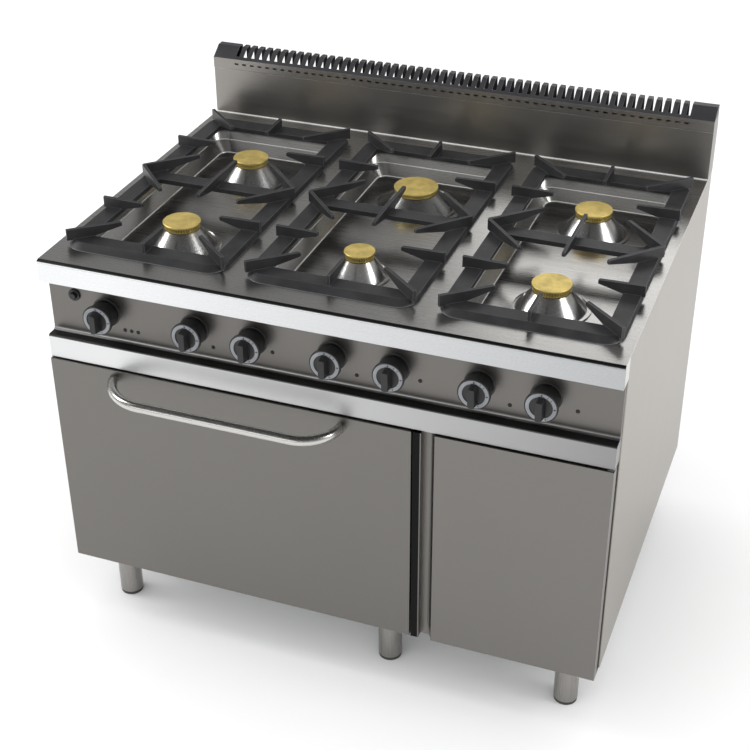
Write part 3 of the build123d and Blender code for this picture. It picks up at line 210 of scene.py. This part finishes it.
def make_materials():
    made = {}
    # pale is the nose's own pale steel; shaded is the painted darker reflection it fades into towards the
    # right
    pale, shaded = (0.74, 0.75, 0.76), (0.42, 0.43, 0.44)
    # painted dark reflection, for the round behind the nose and the top of the fascia's ledge
    painted_dark_reflection = (0.11, 0.11, 0.11)
    made["worktop"] = brushed_steel(
        "worktop_satin_painted_light", (0.58, 0.57, 0.55), ALONG_X, 0.27, 0.03,
        # nose face: pale steel fading right into a painted darker reflection; the round behind it: a
        # painted dark reflection strip
        (("Y", FRONT_Y - ZONE_MARGIN, FRONT_Y + NOSE_FACE, pale, shaded),
         ("Y", FRONT_Y + NOSE_FACE, FRONT_Y + NOSE_ROUND, painted_dark_reflection, painted_dark_reflection)))
    made["splash"] = brushed_steel("splashback_satin", (0.29, 0.277, 0.26), ALONG_X, 0.36, 0.05)
    made["fascia"] = brushed_steel(
        "fascia_satin_painted_light", (0.168, 0.160, 0.150), ALONG_X, 0.36, 0.04,
        # lower band: pale steel fading right into a painted darker reflection; ledge top: a painted dark
        # reflection; fillet above it: a painted highlight fading right
        (("Z", FASCIA_LOW.z - ZONE_MARGIN, LEDGE_Z - LEDGE_ROUND,
          (0.68, 0.685, 0.69), (0.28, 0.28, 0.28)),
         ("Z", LEDGE_Z - LEDGE_ROUND, LEDGE_Z + LEDGE_TOP, painted_dark_reflection, painted_dark_reflection),
         ("Z", LEDGE_Z + LEDGE_TOP, LEDGE_Z + PANEL_FILLET, (0.5, 0.5, 0.5), (0.3, 0.3, 0.3))))
    door = (0.182, 0.175, 0.163)
    # near-black painted shade inside the recessed channel along the door's edge
    painted_channel_shade = (0.012, 0.012, 0.012)
    made["door"] = brushed_steel("door_satin", door, ALONG_X, 0.38, 0.04)
    made["cupboard"] = brushed_steel(
        "cupboard_satin_painted_shade", (0.197, 0.189, 0.177), ALONG_X, 0.38, 0.04,
        (("X", DOOR_EDGE_X - ZONE_MARGIN, DOOR_EDGE_X + DOOR_CHANNEL, painted_channel_shade, painted_channel_shade),))
    made["side"] = brushed_steel("side_satin", (0.335, 0.313, 0.282), ALONG_Z, 0.34, 0.02)
    # pale steel for the tubes that paint the folds' highlight lines
    made["bend"] = bend_highlight_material()
    made["inner_steel"] = brushed_steel("inner_satin", (0.55, 0.54, 0.52), ALONG_X, 0.30, 0.05)
    made["handle"] = brushed_steel("handle_satin", (0.56, 0.55, 0.53), (40, 600, 600), 0.24, 0.04)
    made["leg"] = brushed_steel("leg_satin", (0.30, 0.29, 0.275), (500, 500, 4), 0.28, 0.05)
    made["zinc"] = zinc_sheet()
    made["vent"] = dark_enamel()
    made["oven"] = oven_enamel()
    made["iron"] = cast_iron("pan_support_iron", (0.022, 0.022, 0.0235), 0.44, 0.0016)
    made["rough_iron"] = cast_iron("burner_iron", (0.075, 0.072, 0.070), 0.72, 0.0012)
    made["brass"] = brass("cap_brass", (0.93, 0.72, 0.24), 0.40)
    made["tap_brass"] = brass("tap_brass", (0.72, 0.52, 0.22), 0.34)
    made["cone"] = bright_press()
    made["aluminium"] = brushed_steel("tube_aluminium", (0.70, 0.70, 0.70), (90, 90, 90), 0.36, 0.05)
    made["wire"] = bright_wire()
    made["black"] = moulded("knob_black", (0.007, 0.007, 0.0075), 0.40)
    # near-black, for the plugs that paint the shade inside the fascia's spare holes
    made["plug"] = moulded("hole_shade_black", (0.003, 0.003, 0.003), 0.55)
    made["foot"] = moulded("foot_black", (0.030, 0.030, 0.030), 0.55)
    made["print"] = moulded("dial_grey", (0.21, 0.22, 0.235), 0.45)
    made["seal"] = woven_seal()
    made["wool"] = mineral_wool()
    return made


def bend_highlight_material():
    """A pale, partly diffuse steel for the thin tubes laid along folds; it paints a bright highlight line
    on each fold.
    """
    s = Shader("bend_painted_highlight", (0.80, 0.80, 0.79), 0.45, 0.28)
    marks = s.noise(1.0, 3.0, (8, 700, 700))
    s.colour(s.mix(marks, (0.72, 0.72, 0.71), (0.90, 0.90, 0.89)))
    s.rough(s.spread(marks, 0.24, 0.36))
    s.bump(marks, 0.05, 0.0001)
    return s.material


def zinc_sheet():
    s = Shader("zinc_sheet", (0.50, 0.51, 0.52), 1.0, 0.42)
    crystals = s.add("ShaderNodeTexVoronoi")
    crystals.inputs["Scale"].default_value = 90.0
    s.link(s.place, crystals.inputs["Vector"])
    shade = s.spread(crystals.outputs["Distance"], 0, 1, 0.0, 0.6)
    s.colour(s.mix(shade, (0.44, 0.45, 0.46), (0.57, 0.58, 0.59)))
    s.rough(s.spread(shade, 0.35, 0.5, 0, 1))
    s.bump(shade, 0.05, 0.0002)
    return s.material


def dark_enamel():
    s = Shader("vent_enamel", (0.055, 0.055, 0.06), 0.55, 0.42)
    speckle = s.noise(900.0, 2.0)
    cloud = s.noise(14.0, 3.0)
    # sharp edges are lighter: a painted highlight along the edges
    s.colour(s.mix(s.edges(0.0012), s.mix(cloud, (0.045, 0.045, 0.050), (0.075, 0.075, 0.080)),
                   (0.16, 0.16, 0.165)))
    s.rough(s.spread(cloud, 0.34, 0.48))
    s.bump(speckle, 0.12, 0.0003)
    return s.material


def oven_enamel():
    s = Shader("oven_enamel", (0.035, 0.038, 0.050), 0.0, 0.22)
    flecks = s.noise(1500.0, 1.0)
    spots = s.spread(flecks, 0.0, 1.0, 0.66, 0.70)
    waves = s.noise(9.0, 2.0)
    s.colour(s.mix(spots, (0.030, 0.033, 0.045), (0.40, 0.42, 0.46)))
    s.rough(s.spread(waves, 0.16, 0.30))
    s.bump(waves, 0.05, 0.001)
    return s.material


def cast_iron(name, base, roughness, grain_size):
    s = Shader(name, base, 0.15, roughness)
    pits = s.noise(1.0 / grain_size, 3.0)
    cloud = s.noise(22.0, 3.0)
    tone = s.mix(s.spread(cloud, 0, 1), tint(base, 0.75), tint(base, 1.35))
    # sharp edges are much lighter: a painted highlight along the edges
    s.colour(s.mix(s.multiply(s.edges(0.0018), 0.8), tone, tint(base, 7.0)))
    s.rough(s.spread(pits, roughness - 0.10, roughness + 0.10))
    s.bump(pits, 0.28, 0.0004)
    return s.material


def brass(name, base, roughness):
    """Machined brass with fine turning marks and slight heat tarnish."""
    s = Shader(name, base, 0.80, roughness)
    turning = s.noise(900.0, 2.0)
    tarnish = s.noise(38.0, 4.0)
    tone = s.mix(s.spread(tarnish, 0, 1, 0.35, 0.75), tint(base, 1.05), tint(base, 0.66))
    # sharp edges are lighter: a painted highlight along the edges
    s.colour(s.mix(s.multiply(s.edges(0.0012), 0.5), tone, tint(base, 1.25)))
    s.rough(s.spread(turning, roughness - 0.06, roughness + 0.10))
    s.bump(turning, 0.10, 0.0002)
    return s.material


def bright_press():
    """Polished pressed steel round a burner, slightly straw-coloured from heat at its top."""
    s = Shader("cone_bright", (0.72, 0.72, 0.71), 1.0, 0.22)
    marks = s.noise(1.0, 3.0, (220, 220, 1400))
    heat = s.spread(s.axis("Z"), 0, 1, 0.874, 0.890)
    s.colour(s.mix(s.multiply(heat, 0.45), s.mix(marks, (0.66, 0.66, 0.65), (0.78, 0.78, 0.77)),
                   (0.52, 0.45, 0.33)))
    s.rough(s.spread(marks, 0.19, 0.28))
    s.bump(marks, 0.06, 0.0001)
    return s.material


def bright_wire():
    s = Shader("bright_wire", (0.74, 0.74, 0.74), 1.0, 0.2)
    marks = s.noise(260.0, 3.0)
    s.colour(s.mix(marks, (0.62, 0.62, 0.61), (0.82, 0.82, 0.82)))
    s.rough(s.spread(marks, 0.14, 0.30))
    s.bump(marks, 0.05, 0.0002)
    return s.material


def moulded(name, base, roughness):
    s = Shader(name, base, 0.0, roughness)
    grain = s.noise(1400.0, 2.0)
    cloud = s.noise(40.0, 3.0)
    tone = s.mix(s.spread(cloud, 0, 1), tint(base, 0.85), tint(base, 1.2))
    # sharp edges are lighter: a painted highlight along the edges
    s.colour(s.mix(s.multiply(s.edges(0.0010), 0.5), tone, tuple(c + 0.035 for c in tint(base, 1.6))))
    s.rough(s.spread(grain, roughness - 0.05, roughness + 0.08))
    s.bump(grain, 0.12, 0.0002)
    return s.material


def woven_seal():
    s = Shader("fibre_seal", (0.42, 0.40, 0.36), 0.0, 0.9)
    weave = s.add("ShaderNodeTexWave", bands_direction="DIAGONAL")
    weave.inputs["Scale"].default_value = 260.0
    weave.inputs["Distortion"].default_value = 1.5
    s.link(s.place, weave.inputs["Vector"])
    s.colour(s.mix(weave.outputs["Fac"], (0.26, 0.25, 0.22), (0.50, 0.48, 0.43)))
    s.rough(s.spread(weave.outputs["Fac"], 0.82, 0.95, 0, 1))
    s.bump(weave.outputs["Fac"], 0.5, 0.0006)
    return s.material


def mineral_wool():
    s = Shader("mineral_wool", (0.45, 0.38, 0.22), 0.0, 0.95)
    fibre = s.noise(1.0, 5.0, (60, 300, 300))
    s.colour(s.mix(fibre, (0.34, 0.28, 0.15), (0.58, 0.50, 0.31)))
    s.rough(s.spread(fibre, 0.85, 1.0))
    s.bump(fibre, 0.7, 0.003)
    return s.material


MATERIALS = make_materials()

CAD_LOOKS = {
    "worktop": "worktop", "control_panel": "fascia", "side_panel_left": "side",
    "side_panel_right": "side", "back_panel": "zinc", "base_frame": "zinc",
    "divider_panel": "inner_steel", "splashback": "splash", "vent_cap": "vent",
    "oven_liner": "oven", "oven_front_frame": "inner_steel", "oven_floor_plate": "rough_iron",
    "oven_burner": "zinc", "oven_insulation": "wool", "oven_rack": "wire",
    "oven_door_seal": "seal", "hinge_brackets": "zinc", "gas_manifold": "zinc",
    "tap_bodies": "tap_brass", "burner_gas_pipes": "aluminium", "burner_bodies": "rough_iron",
    "burner_cones": "cone", "thermocouples": "wire", "legs": "leg", "igniter_body": "black",
    "oven_door_outer": "door", "oven_door_inner": "inner_steel", "oven_door_handle": "handle",
    "cabinet_door_outer": "cupboard", "cabinet_door_inner": "inner_steel", "igniter_button": "black",
}
for column in COLUMNS:
    CAD_LOOKS[f"grate_{column}"] = "iron"
    for row in ROWS:
        CAD_LOOKS[f"burner_cap_{row}_{column}"] = "brass"
        CAD_LOOKS[f"foot_{row}_{column}"] = "foot"
for number in range(1, KNOB_COUNT + 1):
    CAD_LOOKS[f"tap_spindle_{number}"] = "tap_brass"
    CAD_LOOKS[f"knob_{number}"] = "black"

SOFT_EDGES = {"grate": 0.0012, "burner_cap": 0.0006, "knob": 0.0010, "oven_door_outer": 0.0006,
              "cabinet_door_outer": 0.0008, "vent_cap": 0.0008, "foot": 0.0008}


def dress_cad_nodes():
    """Give every CAD node its material and, where they are seen close, softened edges."""
    for name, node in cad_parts.items():
        node.data.materials.clear()
        node.data.materials.append(MATERIALS[CAD_LOOKS[name]])
        width = next((size for start, size in SOFT_EDGES.items() if name.startswith(start)), None)
        if width:
            weld = node.modifiers.new("weld", "WELD")
            weld.merge_threshold = 0.00002
            bevel = node.modifiers.new("soft_edges", "BEVEL")
            bevel.width = width
            bevel.segments = 2
            bevel.limit_method = "ANGLE"
            bevel.angle_limit = math.radians(40)
            bevel.harden_normals = True


# ------------------------------------------------------------------ small pieces
def new_piece(name, vertices, faces, material, body, smooth=True):
    mesh = bpy.data.meshes.new(name)
    mesh.from_pydata([tuple(v) for v in vertices], [], faces)
    mesh.update()
    piece = bpy.data.objects.new(name, mesh)
    bpy.context.scene.collection.objects.link(piece)
    mesh.materials.append(MATERIALS[material])
    if smooth:
        for polygon in mesh.polygons:
            polygon.use_smooth = True
        mesh.set_sharp_from_angle(angle=math.radians(35))
    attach(piece, body)
    return piece


def lathe(profile, centre, facing, segments=48):
    """Vertices and faces of a turned piece; profile is (radius, height) pairs along facing."""
    turn = Vector((0, 0, 1)).rotation_difference(Vector(facing)).to_matrix()
    vertices = []
    for radius, height in profile:
        for step in range(segments):
            angle = 2 * math.pi * step / segments
            spot = Vector((radius * math.cos(angle), radius * math.sin(angle), height))
            vertices.append(Vector(centre) + turn @ spot)
    faces = []
    rings = len(profile)
    for ring in range(rings):
        following = (ring + 1) % rings
        for step in range(segments):
            after = (step + 1) % segments
            faces.append((ring * segments + step, ring * segments + after,
                          following * segments + after, following * segments + step))
    return vertices, faces


def solid_lathe(profile, centre, facing, segments=32):
    """A turned piece whose first and last rings are closed with flat ends."""
    vertices, faces = lathe(profile, centre, facing, segments)
    faces = faces[:segments * (len(profile) - 1)]
    faces.append(tuple(reversed(range(segments))))
    last = (len(profile) - 1) * segments
    faces.append(tuple(range(last, last + segments)))
    return vertices, faces


def dial_marks(number, low, high):
    """The grey printed ring on a knob's face, with its ticks."""
    body = f"knob_{number}"
    centre = (low + high) / 2
    grip_height = 0.0190
    spot = Vector((centre.x, low.y + grip_height, centre.z))
    inner, outer, lift = 0.0228, 0.0296, 0.00025
    ring = lathe([(inner, -0.0004), (outer, -0.0004), (outer, lift), (inner, lift)],
                 spot, (0, -1, 0), 96)
    new_piece(f"dial_ring_{number}", *ring, "print", body)
    vertices, faces = [], []
    near, far = 0.0240, 0.0282
    # off at the top, then the flame settings on the way round to low at the bottom
    for tick, degree in enumerate((90, 62, 44, 0, -68)):
        angle = math.radians(degree)
        radial = Vector((math.cos(angle), 0, math.sin(angle)))
        across = Vector((-math.sin(angle), 0, math.cos(angle)))
        half = 0.0012 if tick % 3 == 0 else 0.0007
        for depth in (-0.0002, 0.00045):
            for reach, side in ((near, -1), (far, -1), (far, 1), (near, 1)):
                vertices.append(spot + radial * reach + across * half * side + Vector((0, -depth, 0)))
        first = 8 * tick
        faces.append((first + 4, first + 5, first + 6, first + 7))
        faces.append((first + 3, first + 2, first + 1, first))
        for edge in range(4):
            after = (edge + 1) % 4
            faces.append((first + edge, first + after, first + 4 + after, first + 4 + edge))
    new_piece(f"dial_ticks_{number}", vertices, faces, "black", body, False)


def knob_collar(number, centre):
    """The black plate on the fascia behind each knob."""
    spot = Vector((centre.x, PANEL_Y, centre.z))
    profile = [(0.0105, -0.0002), (0.0300, -0.0002), (0.0312, 0.0004), (0.0312, 0.0009),
               (0.0300, 0.0015), (0.0105, 0.0015)]
    new_piece(f"knob_plate_{number}", *lathe(profile, spot, (0, -1, 0), 72), "black", "casing")


def fascia_hole_shade_plug(number, spot):
    """A domed near-black plug in a spare hole of the fascia, painting the shade inside the hole."""
    profile = [(0.0022, -0.0030), (0.0024, -0.0002), (0.0042, -0.0001), (0.0042, 0.0004),
               (0.0030, 0.0010), (0.0010, 0.0013)]
    plug = new_piece(f"fascia_hole_shade_plug_{number}", *solid_lathe(profile, spot, (0, -1, 0)), "plug", "casing")


def splash_bend_highlight(name, y, z, radius):
    """A thin bright tube along a fold that runs the whole width of the splashback, painting the fold's
    highlight line.
    """
    steps = 8
    vertices = []
    for x in (SPLASH_LOW.x + 0.0005, SPLASH_HIGH.x - 0.0005):
        for step in range(steps):
            angle = 2 * math.pi * step / steps
            vertices.append((x, y + radius * math.cos(angle), z + radius * math.sin(angle)))
    faces = [(step, (step + 1) % steps, steps + (step + 1) % steps, steps + step) for step in range(steps)]
    faces.append(tuple(reversed(range(steps))))
    faces.append(tuple(range(steps, 2 * steps)))
    new_piece(name, vertices, faces, "bend", "casing")


def well_bend_highlight(name, centre_x, z, half_width, near, far, corner):
    """A thin bright tube round one fold of a well, painting the fold's highlight line."""
    tube, sides, corner_steps = 0.0013, 6, 6
    path = []
    middle_y = (near + far) / 2
    for turn in range(4):
        side_x = 1 if turn in (0, 3) else -1
        side_y = 1 if turn < 2 else -1
        hub = Vector((side_x * (half_width - corner), side_y * ((far - near) / 2 - corner), 0))
        for step in range(corner_steps + 1):
            angle = math.radians(90 * turn + 90 * step / corner_steps)
            out = Vector((math.cos(angle), math.sin(angle), 0))
            path.append((hub + corner * out, out))
    vertices, faces = [], []
    for spot, out in path:
        centre = Vector((centre_x, FRONT_Y + middle_y, z)) + spot
        for side in range(sides):
            angle = 2 * math.pi * side / sides
            vertices.append(centre + tube * (math.cos(angle) * out + math.sin(angle) * Vector((0, 0, 1))))
    for ring in range(len(path)):
        after = (ring + 1) % len(path)
        for side in range(sides):
            beside = (side + 1) % sides
            faces.append((ring * sides + side, after * sides + side,
                          after * sides + beside, ring * sides + beside))
    new_piece(name, vertices, faces, "bend", "casing")


def build_fittings():
    for number, (low, high) in enumerate(KNOB_BOXES, start=1):
        dial_marks(number, low, high)
        knob_collar(number, (low + high) / 2)
    for number, (x, z) in enumerate(HOLE_SHADE_PLUGS, start=1):
        fascia_hole_shade_plug(number, Vector((x, PANEL_Y, z)))
    for column, x in zip(COLUMNS, WELL_X):
        for level, sizes in enumerate(WELL_BENDS, start=1):
            well_bend_highlight(f"well_bend_highlight_{column}_{level}", x, *sizes)
    # bright tubes that paint the highlight lines of the splashback's foot and step folds
    splash_bend_highlight("splash_foot_highlight", SPLASH_FACE, WORKTOP_Z, 0.0022)
    splash_bend_highlight("splash_step_highlight", SPLASH_FACE + 0.0004, STEP_Z, 0.0012)


dress_cad_nodes()
build_fittings()


# ------------------------------------------------------------------ stage, light and camera
def card(name, centre, look_at, size, strength):
    data = bpy.data.lights.new(name, "AREA")
    data.shape = "RECTANGLE"
    data.size, data.size_y = size
    data.energy = strength
    light = bpy.data.objects.new(name, data)
    light.location = centre
    light.rotation_euler = (Vector(look_at) - Vector(centre)).to_track_quat("-Z", "Y").to_euler()
    bpy.context.scene.collection.objects.link(light)


def build_stage():
    half = 14.0
    mesh = bpy.data.meshes.new("floor")
    mesh.from_pydata([(-half, -half, 0), (half, -half, 0), (half, half, 0), (-half, half, 0)], [],
                     [(0, 1, 2, 3)])
    floor = bpy.data.objects.new("floor", mesh)
    bpy.context.scene.collection.objects.link(floor)
    s = Shader("floor_paper", (0.86, 0.86, 0.86), 0.0, 0.9)
    cloud = s.noise(1.5, 3.0)
    s.colour(s.mix(cloud, (0.85, 0.85, 0.85), (0.88, 0.88, 0.88)))
    mesh.materials.append(s.material)

    bpy.context.scene.world = studio_world()
    # an even light that no polished face mirrors
    even = bpy.data.lights.new("even", "SUN")
    even.energy = 3.3
    even.angle = math.radians(140)
    sky = bpy.data.objects.new("even", even)
    sky.rotation_euler = (math.radians(12), math.radians(-10), 0)
    sky.visible_glossy = False
    bpy.context.scene.collection.objects.link(sky)
    # the cards are what the steel reflects
    card("front_card", (-1.6, -4.2, 1.9), (-0.2, 0, 0.8), (3.6, 0.8), 16)
    card("left_card", (-4.4, -0.6, 3.6), (0, 0, 0.9), (1.6, 2.2), 70)
    card("right_card", (4.2, -0.3, 3.4), (0.2, 0, 0.9), (1.5, 2.2), 60)
    card("back_card", (-0.3, 4.6, 3.3), (0.0, 0, 0.9), (1.7, 1.3), 11)


def studio_world():
    """A pale studio whose ceiling is darker than its walls."""
    world = bpy.data.worlds.new("studio")
    world.use_nodes = True
    tree = world.node_tree
    background = tree.nodes["Background"]
    direction = tree.nodes.new("ShaderNodeTexCoord").outputs["Generated"]
    split = tree.nodes.new("ShaderNodeSeparateXYZ")
    ramp = tree.nodes.new("ShaderNodeValToRGB")
    stops = ((0.0, 0.95), (0.48, 0.95), (0.60, 0.50), (0.74, 0.27), (0.90, 0.07), (1.0, 0.05))
    elements = ramp.color_ramp.elements
    elements[0].position, elements[1].position = stops[0][0], stops[-1][0]
    for position, value in stops[1:-1]:
        elements.new(position)
    for element, (position, value) in zip(sorted(elements, key=lambda e: e.position), stops):
        element.color = (value, value, value, 1.0)
    height = tree.nodes.new("ShaderNodeMapRange")
    height.inputs["From Min"].default_value = -1.0
    tree.links.new(direction, split.inputs[0])
    tree.links.new(split.outputs["Z"], height.inputs["Value"])
    tree.links.new(height.outputs["Result"], ramp.inputs["Fac"])
    tree.links.new(ramp.outputs["Color"], background.inputs["Color"])
    background.inputs["Strength"].default_value = 1.0
    return world


def build_camera():
    """The pinhole camera that was fitted to the corners of the range in the photo."""
    place = (0.97245, -2.65206, 2.2856)
    data = bpy.data.cameras.new("camera")
    data.sensor_width = 36.0
    data.lens = 71.40
    camera = bpy.data.objects.new("camera", data)
    yaw, pitch, roll = math.radians(20.634), math.radians(32.034), math.radians(-0.296)
    forward = Vector((-math.sin(yaw) * math.cos(pitch), math.cos(yaw) * math.cos(pitch), -math.sin(pitch)))
    level = Vector((math.cos(yaw), math.sin(yaw), 0))
    upright = level.cross(forward)
    right = math.cos(roll) * level + math.sin(roll) * upright
    up = -math.sin(roll) * level + math.cos(roll) * upright
    turn = Matrix((right, up, -forward)).transposed()
    camera.matrix_world = Matrix.Translation(place) @ turn.to_4x4()
    bpy.context.scene.collection.objects.link(camera)
    bpy.context.scene.camera = camera
    bpy.context.scene.view_settings.view_transform = "Standard"


build_stage()
build_camera()
